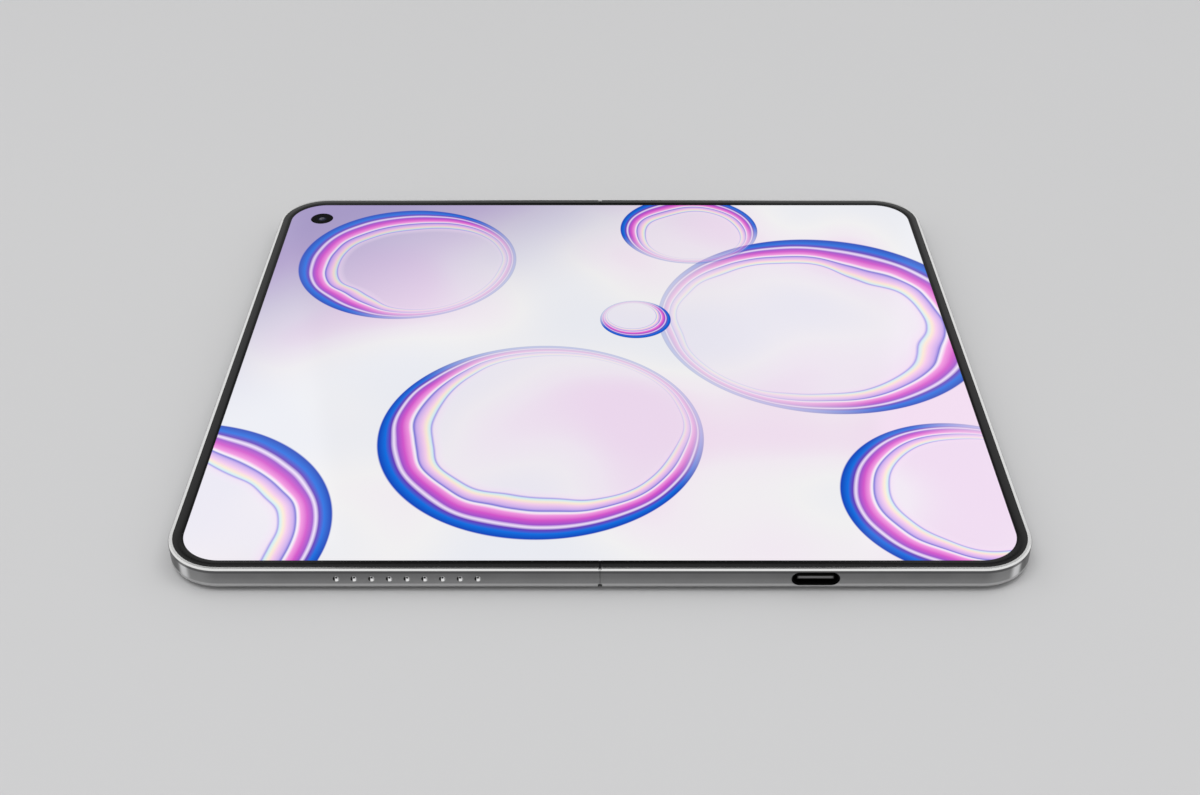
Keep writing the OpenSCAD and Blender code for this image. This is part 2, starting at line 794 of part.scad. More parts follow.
module sim_tray() {
    color(metal) {
        difference() {
            oval_along_x(tray_l, tray_h, -half_w, -bay_edge_x, tray_y, mid_z);
            translate([-half_w - 1, tray_y + tray_l / 2 - tray_pin_inset, mid_z])
                rotate([0, 90, 0])
                    cylinder(r = 0.4, h = wall_t + 2);
        }
        difference() {
            block(-bay_edge_x, -half_w + tray_depth, tray_near_y, tray_far_y, mid_z - 0.4, mid_z + 0.4);
            block(-bay_edge_x + tray_bar, -half_w + tray_depth - tray_bar, tray_near_y + tray_bar,
                  tray_far_y - tray_bar, mid_z - 1, mid_z + 1);
        }
    }
}

// ---------- Keys ----------

// Key with a flange behind the wall that keeps it in its slot
module edge_key(l, y) {
    flange_x = bay_edge_x - key_flange_gap;
    oval_along_x(l, key_h, flange_x - 0.01, half_w + key_out, y, mid_z);
    block(flange_x - key_flange_t, flange_x, y - l / 2 - key_flange_lip / 2, y + l / 2 + key_flange_lip / 2,
          mid_z - key_h / 2 - 0.2, mid_z + key_h / 2 - 0.1);
}

// The rocker turns on an upright pin in the middle of its flange
module volume_key() {
    color(metal) {
        edge_key(volume_l, volume_y);
        translate([bay_edge_x - key_flange_gap - key_flange_t / 2, volume_y, mid_z - key_h / 2 - 0.5])
            cylinder(r = key_pin_r, h = key_h + 0.4, $fn = 32);
    }
}

module power_key() { color(metal) edge_key(power_l, power_y); }

// ---------- Display ----------

module panel_half() {
    half_plate(rim_w + seat, bend_half_w, panel_z, panel_top_z);
}

module right_panel() { color("#e8e4f4") panel_half(); }

module left_panel() {
    color("#e8e4f4")
        difference() {
            mirror([1, 0, 0]) panel_half();
            translate([-punch_x, punch_y, panel_z - 1]) cylinder(d = punch_d, h = 3);
        }
}

module support_half(side) {
    difference() {
        half_plate(rim_w + seat, support_x, support_z, panel_z);
        at_arm_screws(side) translate([0, 0, support_z - 1]) cylinder(r = screw_head_r + 0.1, h = 3, $fn = 32);
    }
}

// The plate is open over the charging port, which is nearly as tall as the phone is thick
module right_support_plate() {
    color(steel)
        difference() {
            support_half(1);
            block(port_x - port_w / 2, port_x + port_w / 2, -half_d, -half_d + port_back, support_z - 1, top_z);
        }
}

module left_support_plate() {
    color(steel)
        difference() {
            mirror([1, 0, 0]) support_half(-1);
            translate([-punch_x, punch_y, support_z - 1]) cylinder(d = punch_d, h = 3);
        }
}

module bezel_half() {
    difference() {
        half_plate(rim_w + seat, pivot_x, panel_top_z, panel_top_z + trim_t);
        half_plate(picture_inset, 0, panel_top_z - 1, panel_top_z + trim_t + 1);
    }
}

module right_bezel() { color(black) bezel_half(); }

module left_bezel() { color(black) mirror([1, 0, 0]) bezel_half(); }

module display_bend_zone() {
    color("#e8e4f4")
        block(-bend_half_w, bend_half_w, -half_d + rim_w + seat, half_d - rim_w - seat, panel_z, panel_top_z);
}

// ---------- Hinge ----------

// Half-round bar under the fold, cut off flat at its top
module half_round(r, y0, y1, z1) {
    intersection() {
        rod_y(r, y0, y1, 0, top_z);
        block(-r - 1, r + 1, y0 - 1, y1 + 1, top_z - r - 1, z1);
    }
}

module spine_cover() {
    color(metal)
        difference() {
            half_round(spine_r, -spine_half_l, spine_half_l, spine_top_z, $fn = 96);
            half_round(spine_in_r, -spine_half_l + end_wall_t, spine_half_l - end_wall_t, spine_top_z + 1);
            for (side = [-1, 1]) {
                for (s = [-1, 1]) rim_notch(side, arm_y(side, s), arm_w, notch_z);
                rim_notch(side, sync_y + sync_w / 2, sync_w, sync_z - arm_clear);
                rim_notch(side, flex_y, flex_w, flex_z - 0.15);
            }
        }
}

// Gap in the rim of the spine where an arm or cable passes over it
module rim_notch(side, y, w, z) {
    block(side > 0 ? 0 : -spine_r - 1, side > 0 ? spine_r + 1 : 0, y - w / 2 - notch_gap, y + w / 2 + notch_gap,
          z, top_z);
}

// Base fixed in the spine, with one curved groove for each half's arm
module hinge_base(s) {
    y = s * base_y;
    color("#8d9095")
        difference() {
            half_round(fill_r, y - base_half_l, y + base_half_l, notch_z);
            for (side = [-1, 1])
                curved_bar(side, slider_r - run_gap, slider_t + 2 * run_gap,
                           arm_y(side, s) - arm_w / 2 - arm_clear, arm_y(side, s) + arm_w / 2 + arm_clear);
            at_spine_screws() translate([0, 0, top_z - spine_r - 1]) cylinder(r = 0.35, h = spine_r, $fn = 24);
        }
}

// Ring round a half's fold pivot
module curved_bar(side, r, t, y0, y1) {
    difference() {
        rod_y(r + t, y0, y1, side * pivot_x, top_z);
        rod_y(r, y0 - 1, y1 + 1, side * pivot_x, top_z);
    }
}

// Screws go in at both ends of each base, beyond its grooves
module at_spine_screws() {
    for (s = [-1, 1], t = [-1, 1])
        translate([0, s * base_y + t * (base_half_l - base_end / 2 - 0.05), 0]) children();
}

module hinge_base_near() { hinge_base(-1); }

module hinge_base_far() { hinge_base(1); }

// Hinge arm drawn for the right half: a foot screwed to the frame and a curved slider round the pivot
module hinge_arm(side, s) {
    y0 = arm_y(side, s) - arm_w / 2;
    y1 = y0 + arm_w;
    difference() {
        union() {
            block(1.75, arm_foot_x, y0, y1, arm_z, arm_top_z);
            difference() {
                translate([pivot_x, y1, top_z])
                    rotate([90, 0, 0])
                        rotate([0, 0, 180 - slider_to])
                            rotate_extrude(angle = slider_to - slider_from, $fn = 96)
                                translate([slider_r, 0]) square([slider_t, arm_w]);
                block(-spine_r, spine_r, y0 - 1, y1 + 1, arm_top_z, top_z + 1);
            }
        }
        at_arm_screws(side) translate([0, 0, arm_z - 1]) cylinder(r = screw_r + 0.1, h = 3, $fn = 32);
    }
}

module right_hinge_arms() { color(steel) for (s = [-1, 1]) hinge_arm(1, s); }

module left_hinge_arms() { color(steel) mirror([1, 0, 0]) for (s = [-1, 1]) hinge_arm(-1, s); }

module arm_screws(side) {
    at_arm_screws(side) {
        translate([0, 0, arm_top_z]) cylinder(r = screw_head_r, h = 0.2, $fn = 32);
        translate([0, 0, arm_z - 0.9]) cylinder(r = screw_r - 0.03, h = arm_top_z - arm_z + 0.9, $fn = 32);
    }
}

module right_arm_screws() { color(steel) arm_screws(1); }

module left_arm_screws() { color(steel) mirror([1, 0, 0]) arm_screws(-1); }

module spine_screws() {
    color(steel)
        at_spine_screws() translate([0, 0, top_z - spine_in_r + seat]) cylinder(r = 0.32, h = 1.2, $fn = 24);
}

// ---------- Synchroniser ----------

module gear_outline(turn) {
    pitch = 360 / gear_teeth;
    polygon([for (i = [0:gear_teeth - 1], k = [0:3])
        let (a = turn + i * pitch + [-10, -4, 4, 10][k], r = [gear_root_r, gear_out_r, gear_out_r, gear_root_r][k])
        [r * cos(a), r * sin(a)]]);
}

module gear(x, turn, l) {
    translate([x, l / 2, gear_z])
        rotate([90, 0, 0])
            linear_extrude(height = l)
                difference() {
                    gear_outline(turn);
                    circle(r = gear_bore_r, $fn = 32);
                }
}

// Geared arm of one half, turning on its own shaft in the spine
module sync_arm(side, turn) {
    color(gold) {
        gear(side * gear_x, turn, gear_l);
        difference() {
            union() {
                rod_y(hub_r, gear_l / 2, sync_y + sync_w, side * gear_x, gear_z);
                block(side > 0 ? gear_x : -sync_out_x, side > 0 ? sync_out_x : -gear_x, sync_y,
                      sync_y + sync_w, sync_z, sync_z + arm_t);
            }
            rod_y(gear_bore_r, gear_l / 2 - 1, sync_y + sync_w + 1, side * gear_x, gear_z);
        }
    }
}

module sync_arm_left() { sync_arm(-1, 0); }

module sync_arm_right() { sync_arm(1, 180 / gear_teeth); }

module idler_gear_left() { color(gold) gear(-gear_pitch_r, 180 / gear_teeth, idler_l); }

module idler_gear_right() { color(gold) gear(gear_pitch_r, 0, idler_l); }

function shaft_xs() = [-gear_x, -gear_pitch_r, gear_pitch_r, gear_x];

module gear_shafts() {
    color(steel)
        for (x = shaft_xs())
            rod_y(shaft_d / 2, bracket_near_y - bracket_t, bracket_far_y + bracket_t, x, gear_z);
}

module sync_bracket() {
    color("#8d9095")
        difference() {
            for (y = [bracket_near_y - bracket_t, bracket_far_y])
                half_round(fill_r, y, y + bracket_t, sync_z + arm_t);
            for (x = shaft_xs())
                rod_y(shaft_d / 2 + 0.01, bracket_near_y - 2, bracket_far_y + 2, x, gear_z);
        }
}

// Flat cable that joins the boards across the hinge, with a short leg down at each end
module hinge_flex() {
    color(gold)
        translate([0, flex_y + flex_w / 2, 0])
            rotate([90, 0, 0])
                linear_extrude(height = flex_w)
                    polygon([[-flex_reach, board_top_z], [flex_t - flex_reach, board_top_z],
                             [flex_t - flex_reach, flex_z], [flex_reach - flex_t, flex_z],
                             [flex_reach - flex_t, board_top_z], [flex_reach, board_top_z],
                             [flex_reach, flex_z + flex_t], [-flex_reach, flex_z + flex_t]]);
}

right_frame();
back_glass();
camera_island();
camera_rings();
camera_windows();
main_camera();
wide_camera();
tele_camera();
flash_window();
right_battery();
charging_coil();
main_board();
main_shields();
sub_board();
usb_shell();
usb_tongue();
vibration_motor();
top_speaker();
key_switches();
right_board_screws();
right_panel();
right_support_plate();
right_bezel();
right_hinge_arms();
right_arm_screws();
volume_key();
power_key();
left_frame();
cover_glass();
cover_panel();
cover_camera();
cover_camera_window();
left_battery();
left_board();
left_shields();
bottom_speaker();
speaker_mesh();
inner_camera();
inner_camera_window();
left_board_screws();
left_panel();
left_support_plate();
left_bezel();
left_hinge_arms();
left_arm_screws();
sim_tray();
spine_cover();
hinge_base_near();
hinge_base_far();
sync_bracket();
gear_shafts();
spine_screws();
display_bend_zone();
hinge_flex();
sync_arm_left();
sync_arm_right();
idler_gear_left();
idler_gear_right();
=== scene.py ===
"""Looks of the foldable phone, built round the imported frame. All lengths are in metres."""
import json
import math

import bmesh
import bpy
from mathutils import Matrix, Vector

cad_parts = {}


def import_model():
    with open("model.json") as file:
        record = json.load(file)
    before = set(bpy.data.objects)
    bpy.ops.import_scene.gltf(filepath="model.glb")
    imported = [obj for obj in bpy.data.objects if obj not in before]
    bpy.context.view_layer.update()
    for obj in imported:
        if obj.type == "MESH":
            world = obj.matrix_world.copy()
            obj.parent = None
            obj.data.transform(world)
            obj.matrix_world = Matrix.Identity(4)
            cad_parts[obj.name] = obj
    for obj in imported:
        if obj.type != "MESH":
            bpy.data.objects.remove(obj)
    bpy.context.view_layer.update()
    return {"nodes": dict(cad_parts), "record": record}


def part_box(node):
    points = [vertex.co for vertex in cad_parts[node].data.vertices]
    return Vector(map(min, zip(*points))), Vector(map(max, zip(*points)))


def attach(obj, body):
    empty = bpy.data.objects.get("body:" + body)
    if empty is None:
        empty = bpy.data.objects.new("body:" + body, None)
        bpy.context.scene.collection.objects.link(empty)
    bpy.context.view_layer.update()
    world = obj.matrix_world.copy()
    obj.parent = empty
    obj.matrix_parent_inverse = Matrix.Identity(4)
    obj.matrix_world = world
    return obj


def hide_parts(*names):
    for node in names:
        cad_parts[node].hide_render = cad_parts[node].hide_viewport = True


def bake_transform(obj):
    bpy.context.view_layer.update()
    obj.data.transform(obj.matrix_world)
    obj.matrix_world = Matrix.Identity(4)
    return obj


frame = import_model()
MM = 0.001

# ---------- Sizes, read from the frame ----------

FRAME_LO, FRAME_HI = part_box("right_frame")
HALF_W, HALF_D = FRAME_HI.x, FRAME_HI.y
BACK_Z, TOP_Z = FRAME_LO.z, FRAME_HI.z
MID_Z = (BACK_Z + TOP_Z) / 2
PIVOT_X = FRAME_LO.x                         # the fold axes lie in the rim plane, this far from the middle
CORNER_R = 10.8 * MM
RIM_CHAMFER = 0.36 * MM
CHAMFER_Z = TOP_Z - RIM_CHAMFER              # height of the chamfer's lower edge
BEZEL_W = 1.95 * MM
BEZEL_OUT = HALF_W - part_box("right_bezel")[1].x
BEZEL_IN = BEZEL_OUT + BEZEL_W
BEZEL_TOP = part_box("right_bezel")[1].z
SCREEN_LO, SCREEN_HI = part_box("display_bend_zone")
PICTURE_W, PICTURE_D = HALF_W - BEZEL_IN, HALF_D - BEZEL_IN


def middle(node):
    """Middle of a CAD node's box."""
    low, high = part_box(node)
    return (low + high) / 2


# ---------- Meshes ----------


def radians(degrees):
    """Angles in degrees as a list in radians."""
    return [math.radians(angle) for angle in degrees]


def piece(name, verts, faces, body, material, replaces=(), smooth=True, rides=True):
    """A mesh piece that rides on a body, takes the material it is given and may stand for CAD nodes."""
    mesh = bpy.data.meshes.new(name)
    mesh.from_pydata([tuple(v) for v in verts], [], faces)
    work = bmesh.new()
    work.from_mesh(mesh)
    bmesh.ops.remove_doubles(work, verts=work.verts, dist=1e-7)
    bmesh.ops.recalc_face_normals(work, faces=work.faces)
    work.to_mesh(mesh)
    work.free()
    if smooth:
        mesh.polygons.foreach_set("use_smooth", [True] * len(mesh.polygons))
        mesh.set_sharp_from_angle(angle=math.radians(32))
    mesh.materials.append(material)
    obj = bpy.data.objects.new(name, mesh)
    bpy.context.scene.collection.objects.link(obj)
    if rides:
        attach(obj, body)
    if replaces:
        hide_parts(*replaces)
    return obj


def skin(loops, closed_loops=True, closed_row=False, caps=True):
    """Faces between loops of equal length, as (vertices, faces)."""
    n = len(loops[0])
    verts = [p for loop in loops for p in loop]
    faces = []
    rows = len(loops) if closed_row else len(loops) - 1
    columns = n if closed_loops else n - 1
    for i in range(rows):
        a, b = i * n, (i + 1) % len(loops) * n
        for k in range(columns):
            m = (k + 1) % n
            faces.append((a + k, a + m, b + m, b + k))
    if caps and closed_row:
        faces.append([i * n for i in range(len(loops))])
        faces.append([i * n + n - 1 for i in range(len(loops))])
    elif caps:
        faces.append(list(range(n)))
        faces.append([(len(loops) - 1) * n + k for k in range(n)])
    return verts, faces


def merged(parts):
    """Several (vertices, faces) as one."""
    verts, faces = [], []
    for v, f in parts:
        start = len(verts)
        verts += v
        faces += [[start + i for i in face] for face in f]
    return verts, faces


def lathe(profile, centre, axis="z", steps=64, caps=True):
    """Ring or disc from (radius, height) pairs, round the upright or the -Y axis through centre."""
    loops = []
    for radius, height in profile:
        loop = []
        for k in range(steps):
            a = 2 * math.pi * k / steps
            u, v = radius * math.cos(a), radius * math.sin(a)
            loop.append(centre + (Vector((u, v, height)) if axis == "z" else Vector((u, -height, v))))
        loops.append(loop)
    return skin(loops, caps=caps)


def half_outline(side, inset, steps=20):
    """Outline of a half, drawn in by inset, from the seam at the near edge to the seam at the far edge."""
    r = CORNER_R - inset
    corner_x, corner_y = HALF_W - CORNER_R, HALF_D - CORNER_R
    points = [(side * PIVOT_X, inset - HALF_D)]
    for turn, sign in ((-90, -1), (0, 1)):
        for k in range(steps + 1):
            a = math.radians(turn + 90 * k / steps)
            points.append((side * (corner_x + r * math.cos(a)), sign * corner_y + r * math.sin(a)))
    points.append((side * PIVOT_X, HALF_D - inset))
    return points


def stadium(length, height, steps=12):
    """Points round an oval with round ends, centred on 0, as (along, up)."""
    r = height / 2
    points = []
    for sign in (1, -1):
        for k in range(steps + 1):
            a = math.pi * (k / steps - 0.5)
            points.append((sign * (length / 2 - r + r * math.cos(a)), sign * r * math.sin(a)))
    return points


def slab(x0, x1, y_span, z_span, steps=1):
    """Flat strip from x0 to x1, divided along x so that it can bend."""
    (y0, y1), (z0, z1) = y_span, z_span
    loops = []
    for k in range(steps + 1):
        x = x0 + (x1 - x0) * k / steps
        loops.append([Vector((x, y, z)) for y, z in ((y0, z0), (y1, z0), (y1, z1), (y0, z1))])
    return skin(loops)


# ---------- Materials ----------


def grey(value, blue=0.0):
    """A grey, with a touch more or less blue."""
    return value, value, value + blue


class Net:
    """Short ways to add nodes to a material or a world."""

    def __init__(self, name, owners=None, shader="Principled BSDF", coordinates="Object"):
        self.material = (bpy.data.materials if owners is None else owners).new(name)
        self.material.use_nodes = True
        self.tree = self.material.node_tree
        self.shader = self.tree.nodes[shader]
        self.place = self.tree.nodes.new("ShaderNodeTexCoord").outputs[coordinates]
        self.x, self.y, self.z = self.node("ShaderNodeSeparateXYZ", self.place).outputs

    def node(self, kind, *inputs, **settings):
        """Adds a node, with its settings and its first inputs."""
        made = self.tree.nodes.new(kind)
        for key, value in settings.items():
            setattr(made, key, value)
        for i, value in enumerate(inputs):
            self.set(made.inputs[i], value)
        return made

    def set(self, socket, value):
        """Links a socket to another or gives it a value."""
        if isinstance(value, bpy.types.NodeSocket):
            self.tree.links.new(value, socket)
        elif value is not None:
            socket.default_value = value

    def put(self, **values):
        """Sets inputs of the shader, named with _ for a space."""
        for key, value in values.items():
            self.set(self.shader.inputs[key.replace("_", " ")], value)

    def math(self, operation, a, b=0.0):
        """Result of a math node."""
        return self.node("ShaderNodeMath", a, b, operation=operation).outputs[0]

    def product(self, *factors):
        """All factors multiplied together."""
        value = factors[0]
        for factor in factors[1:]:
            value = self.math("MULTIPLY", value, factor)
        return value

    def off(self, value, centre=0.0):
        """How far value is from centre, on either side."""
        return self.math("ABSOLUTE", self.math("SUBTRACT", value, centre))

    def step(self, value, low, high, out_low=0.0, out_high=1.0):
        """Smooth step from out_low at low to out_high at high."""
        made = self.node("ShaderNodeMapRange", value, low, high, out_low, out_high,
                         interpolation_type="SMOOTHSTEP")
        return made.outputs[0]

    def mix(self, factor, a, b):
        """Colour a where factor is 0, and colour b where it is 1."""
        made = self.node("ShaderNodeMix", data_type="RGBA")
        for socket, value in zip([made.inputs[i] for i in (0, 6, 7)], (factor, a, b)):
            self.set(socket, (*value, 1) if isinstance(value, (tuple, list)) and len(value) == 3 else value)
        return made.outputs[2]

    def noise(self, size, detail=3.0, stretch=(1, 1, 1)):
        """Noise with features of about this size."""
        scaled = self.node("ShaderNodeVectorMath", self.place, stretch, operation="MULTIPLY").outputs[0]
        made = self.node("ShaderNodeTexNoise", scaled)
        made.inputs["Scale"].default_value = 1 / size
        made.inputs["Detail"].default_value = detail
        return made.outputs["Fac"]

    def ramp(self, factor, stops):
        """Colour ramp from (position, colour) pairs."""
        made = self.node("ShaderNodeValToRGB", factor)
        band = made.color_ramp
        while len(band.elements) < len(stops):
            band.elements.new(0.5)
        for element, (position, colour) in zip(band.elements, stops):
            element.position = position
            element.color = (*colour, 1) if len(colour) == 3 else colour
        return made.outputs

    def bump(self, height, distance, socket="Normal"):
        """Bumps the surface by up to distance where height is 1."""
        made = self.tree.nodes.new("ShaderNodeBump")
        made.inputs["Strength"].default_value = 1.0
        made.inputs["Distance"].default_value = distance
        self.set(made.inputs["Height"], height)
        self.set(self.shader.inputs[socket], made.outputs[0])

    def distance(self, centre):
        """Distance from an upright line through centre, and its parts along x and y."""
        dx = self.math("SUBTRACT", self.x, centre[0])
        dy = self.math("SUBTRACT", self.y, centre[1])
        squares = self.math("ADD", self.math("MULTIPLY", dx, dx), self.math("MULTIPLY", dy, dy))
        return self.math("SQRT", squares), dx, dy


def grained(name, colour, roughness, metallic=0.0, grain=0.15 * MM, contrast=0.12, depth=2e-6,
            stretch=(1, 1, 1), specular=0.5):
    """Material with a fine grain in colour, roughness and height."""
    net = Net(name)
    fine_share, cloud_size, swing = 0.7, 12 * MM, 0.12
    fine = net.noise(grain, stretch=stretch)
    cloud = net.noise(cloud_size, detail=2.0)
    spread = net.math("ADD", net.math("MULTIPLY", fine, fine_share),
                      net.math("MULTIPLY", cloud, 1 - fine_share))
    dark = tuple(c * (1 - contrast) for c in colour)
    light = tuple(min(1, c * (1 + contrast)) for c in colour)
    net.put(Base_Color=net.mix(net.step(spread, 0.3, 0.7), dark, light), Metallic=metallic)
    net.put(Roughness=net.step(fine, 0.2, 0.8, roughness * (1 - swing), roughness * (1 + swing)))
    net.put(Specular_IOR_Level=specular)
    net.bump(fine, depth)
    return net.material


def painted_corner_light(net):
    """Bands of painted light round each corner, by the turn in radians from the end face: painted sheen,
    painted highlight, painted shade.
    """
    turned = net.math("ARCTAN2", net.math("SUBTRACT", net.off(net.x), HALF_W - CORNER_R),
                      net.math("SUBTRACT", net.off(net.y), HALF_D - CORNER_R))
    # painted sheen near the end face, a painted highlight band further round, painted shade beyond it
    painted_corner_sheen = net.product(net.step(turned, 0.0, 0.3), net.step(turned, 0.58, 0.5))
    painted_corner_highlight = net.product(net.step(turned, 0.48, 0.62), net.step(turned, 0.8, 0.68))
    dark = net.product(net.step(turned, 0.72, 0.9), net.step(turned, 1.57, 1.4))
    return painted_corner_sheen, painted_corner_highlight, dark


PORT_HALF_W = (4.62 * MM, 4.55 * MM)         # soft edges of the painted shade on the port's walls, from outside in
PORT_HALF_H = (1.62 * MM, 1.56 * MM)
FOOT_HALF_W = (0.48 * MM, 0.26 * MM)         # soft edges of the painted shade at the seam's foot
FOOT_H = (1.0 * MM, 0.7 * MM)


def painted_shade_places(net):
    """Painted shade on the port's walls inside its opening, and at the foot of the seam at both end faces.
    """
    near_half = net.step(net.y, 0.01 * MM, 0.0)
    inside = net.step(net.y, 0.02 * MM - HALF_D, 0.06 * MM - HALF_D)
    port_mouth_shade = net.product(net.step(net.off(net.x, middle("usb_shell").x), *PORT_HALF_W),
                        net.step(net.off(net.z, MID_Z), *PORT_HALF_H), near_half, inside)
    end_faces = net.step(net.off(net.y), HALF_D - 0.9 * MM, HALF_D - 0.6 * MM)
    foot = net.product(net.step(net.off(net.x), *FOOT_HALF_W),
                       net.step(net.math("SUBTRACT", net.z, BACK_Z), *FOOT_H), end_faces)
    return net.math("MAXIMUM", port_mouth_shade, foot)


def frame_metal():
    """Blasted aluminium sides under a polished rim, with painted highlights and painted shade at the
    corners, under the rim, along the lower edge, in the port and at the seam.
    """
    net = Net("frame_aluminium")
    fine = net.noise(0.09 * MM, detail=2.0)
    cloud = net.noise(9 * MM, detail=2.0)
    polished = net.step(net.z, CHAMFER_Z + 0.04 * MM, CHAMFER_Z + 0.1 * MM)
    # painted dark reflection: a dark line just under the rim's chamfer
    line = net.step(net.z, CHAMFER_Z - 0.6 * MM, CHAMFER_Z - 0.35 * MM)
    # painted reflection: the wall's colour turns lighter towards the bottom
    lower = net.step(net.z, CHAMFER_Z - 0.8 * MM, BACK_Z + 1.0 * MM)
    # painted highlight: a lighter band along the wall's lower edge
    back = net.step(net.z, BACK_Z + 1.1 * MM, BACK_Z + 0.85 * MM)
    painted_corner_sheen, painted_corner_highlight, dark = painted_corner_light(net)
    # wall colour with its painted reflection, lighter towards the bottom
    colour = net.mix(lower, grey(0.2, 0.002), grey(0.31, 0.002))
    layers = (  # strength and tone, each over the one before
        (net.step(cloud, 0.3, 0.7, 0.0, 0.12), grey(0.45)),
        (net.step(fine, 0.25, 0.75, 0.0, 0.2), grey(0.14)),
        # painted sheen, painted shade and a painted highlight round each corner
        (net.math("MULTIPLY", painted_corner_sheen, 0.4), grey(0.42)),
        (net.math("MULTIPLY", dark, 0.8), grey(0.08)),
        (painted_corner_highlight, grey(0.88)),
        # painted highlight along the lower edge, and the painted dark reflection under the rim
        (net.math("MULTIPLY", back, 0.85), grey(0.58)),
        (net.math("MULTIPLY", line, 0.8), grey(0.09, 0.002)),
        (polished, grey(0.93, -0.005)),
        # painted shade in the port's opening and at the seam's foot
        (painted_shade_places(net), grey(0.012)),
    )
    for strength, tone in layers:
        colour = net.mix(strength, colour, tone)
    net.put(Base_Color=colour, Metallic=1.0)
    net.put(Roughness=net.mix(polished, net.mix(painted_corner_highlight, grey(0.36), grey(0.3)), grey(0.11)))
    net.bump(net.math("MULTIPLY", fine, net.math("SUBTRACT", 1.0, polished)), 3e-6)
    return net.material


DISCS = [  # centre, radius and width of the shimmering rim in mm, direction of its wide side in degrees
    ((-84, -60), 34, 16, 40),
    ((-46, 40), 26, 15, 150),
    ((-12, -30), 33, 15, 235),
    ((50, 14), 37, 21, 20),
    ((22, 56), 17, 11, 100),
    ((70, -50), 24, 15, 200),
    ((8, 14), 8, 6, 300),
]
NARROW_SIDE = 0.25                           # share of its width that a rim keeps at its narrow side
FILM = [  # colour and strength of a disc's rim, from its edge (0) inwards (1)
    (0.0, (0.0, 0.08, 0.6, 0.0)),
    (0.02, (0.0, 0.05, 0.46, 1.0)),
    (0.12, (0.0, 0.15, 0.72, 1.0)),
    (0.19, (0.12, 0.03, 0.46, 1.0)),
    (0.235, (0.84, 0.72, 0.95, 0.8)),
    (0.28, (0.3, 0.04, 0.56, 0.95)),
    (0.36, (0.62, 0.05, 0.56, 0.95)),
    (0.45, (0.86, 0.24, 0.7, 0.9)),
    (0.5, (0.94, 0.88, 0.95, 0.7)),
    (0.53, (0.08, 0.08, 0.6, 0.9)),
    (0.57, (0.5, 0.28, 0.8, 0.75)),
    (0.66, (0.9, 0.5, 0.78, 0.7)),
    (0.72, (0.98, 0.8, 0.5, 0.6)),
    (0.77, (0.5, 0.86, 0.86, 0.55)),
    (0.8, (0.22, 0.18, 0.74, 0.8)),
    (0.84, (0.88, 0.66, 0.88, 0.4)),
    (1.0, (0.88, 0.8, 0.9, 0.0)),
]
DISC_TINT = (0.74, 0.62, 0.82)
GROUND = [  # pale tones that drift over the picture
    (0.0, (0.8, 0.81, 0.86)),
    (0.4, (0.86, 0.85, 0.86)),
    (0.72, (0.86, 0.8, 0.86)),
    (1.0, (0.84, 0.68, 0.83)),
]
LILAC = (0.3, 0.23, 0.5)
BRIGHTNESS = 1.08                            # makes up for what the gloss over the picture takes away


def disc(net, picture, wave, centre, radius, band, wide):
    """Lays one clear disc with a many-coloured rim over the picture."""
    reach, dx, dy = net.distance((centre[0] * MM, centre[1] * MM))
    a = math.radians(wide)
    along = net.math("ADD", net.math("MULTIPLY", dx, math.cos(a)), net.math("MULTIPLY", dy, math.sin(a)))
    side = net.step(along, -radius * MM, radius * MM)
    width = net.math("ADD", net.math("MULTIPLY", side, 1 - NARROW_SIDE), NARROW_SIDE)
    inwards = net.math("SUBTRACT", radius * MM, reach)
    share = net.math("DIVIDE", inwards, net.math("MULTIPLY", width, band * MM))
    share = net.math("MULTIPLY", share, net.step(wave, 0.3, 0.7, 0.85, 1.15))
    colour, strength = net.ramp(share, FILM)
    picture = net.mix(net.step(share, 0.0, 0.4, 0.0, 0.22), picture, DISC_TINT)
    return net.mix(net.math("MULTIPLY", strength, net.step(side, 0.0, 0.5, 0.35, 1.0)), picture, colour)


def screen():
    """Lit display under clear gloss: clear discs over a pale ground, and black round the picture."""
    net = Net("inner_display")
    drift = net.noise(55 * MM, detail=1.0)
    wave = net.noise(22 * MM, detail=1.0)
    ground = net.ramp(net.step(drift, 0.34, 0.68), GROUND)[0]
    corner = net.step(net.math("SUBTRACT", net.y, net.math("MULTIPLY", net.x, 0.8)), 30 * MM, 118 * MM)
    picture = net.mix(net.math("MULTIPLY", corner, 0.9), ground, LILAC)
    for centre, radius, band, wide in DISCS:
        picture = disc(net, picture, wave, centre, radius, band, wide)
    soft = 0.02 * MM
    lit = net.product(net.step(net.off(net.x), PICTURE_W + soft, PICTURE_W - soft),
                      net.step(net.off(net.y), PICTURE_D + soft, PICTURE_D - soft))
    net.put(Base_Color=(0.004, 0.004, 0.005, 1), Roughness=0.5, Specular_IOR_Level=0.0)
    net.put(Coat_Weight=1.0, Coat_Roughness=0.06, Coat_IOR=1.5)
    net.put(Emission_Color=net.mix(lit, grey(0), picture), Emission_Strength=BRIGHTNESS)
    net.bump(net.noise(0.5 * MM), 2e-7, socket="Coat Normal")
    return net.material


def cover_screen_glass():
    """Black gloss glass with the edge of an unlit screen just visible in it."""
    net = Net("cover_glass")
    margin, soft = 2.2 * MM, 0.1 * MM
    low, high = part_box("cover_glass")
    half_x, half_y = (high.x - low.x) / 2 - margin, (high.y - low.y) / 2 - margin
    in_x = net.step(net.off(net.x, (low.x + high.x) / 2), half_x, half_x - soft)
    in_y = net.step(net.off(net.y), half_y, half_y - soft)
    panel = net.mix(net.noise(20 * MM), grey(0.012, 0.003), grey(0.017, 0.004))
    net.put(Base_Color=net.mix(net.math("MULTIPLY", in_x, in_y), grey(0.004), panel))
    net.put(Roughness=net.step(net.noise(3 * MM), 0.3, 0.7, 0.05, 0.09), IOR=1.5)
    net.bump(net.noise(0.6 * MM), 2e-7)
    return net.material


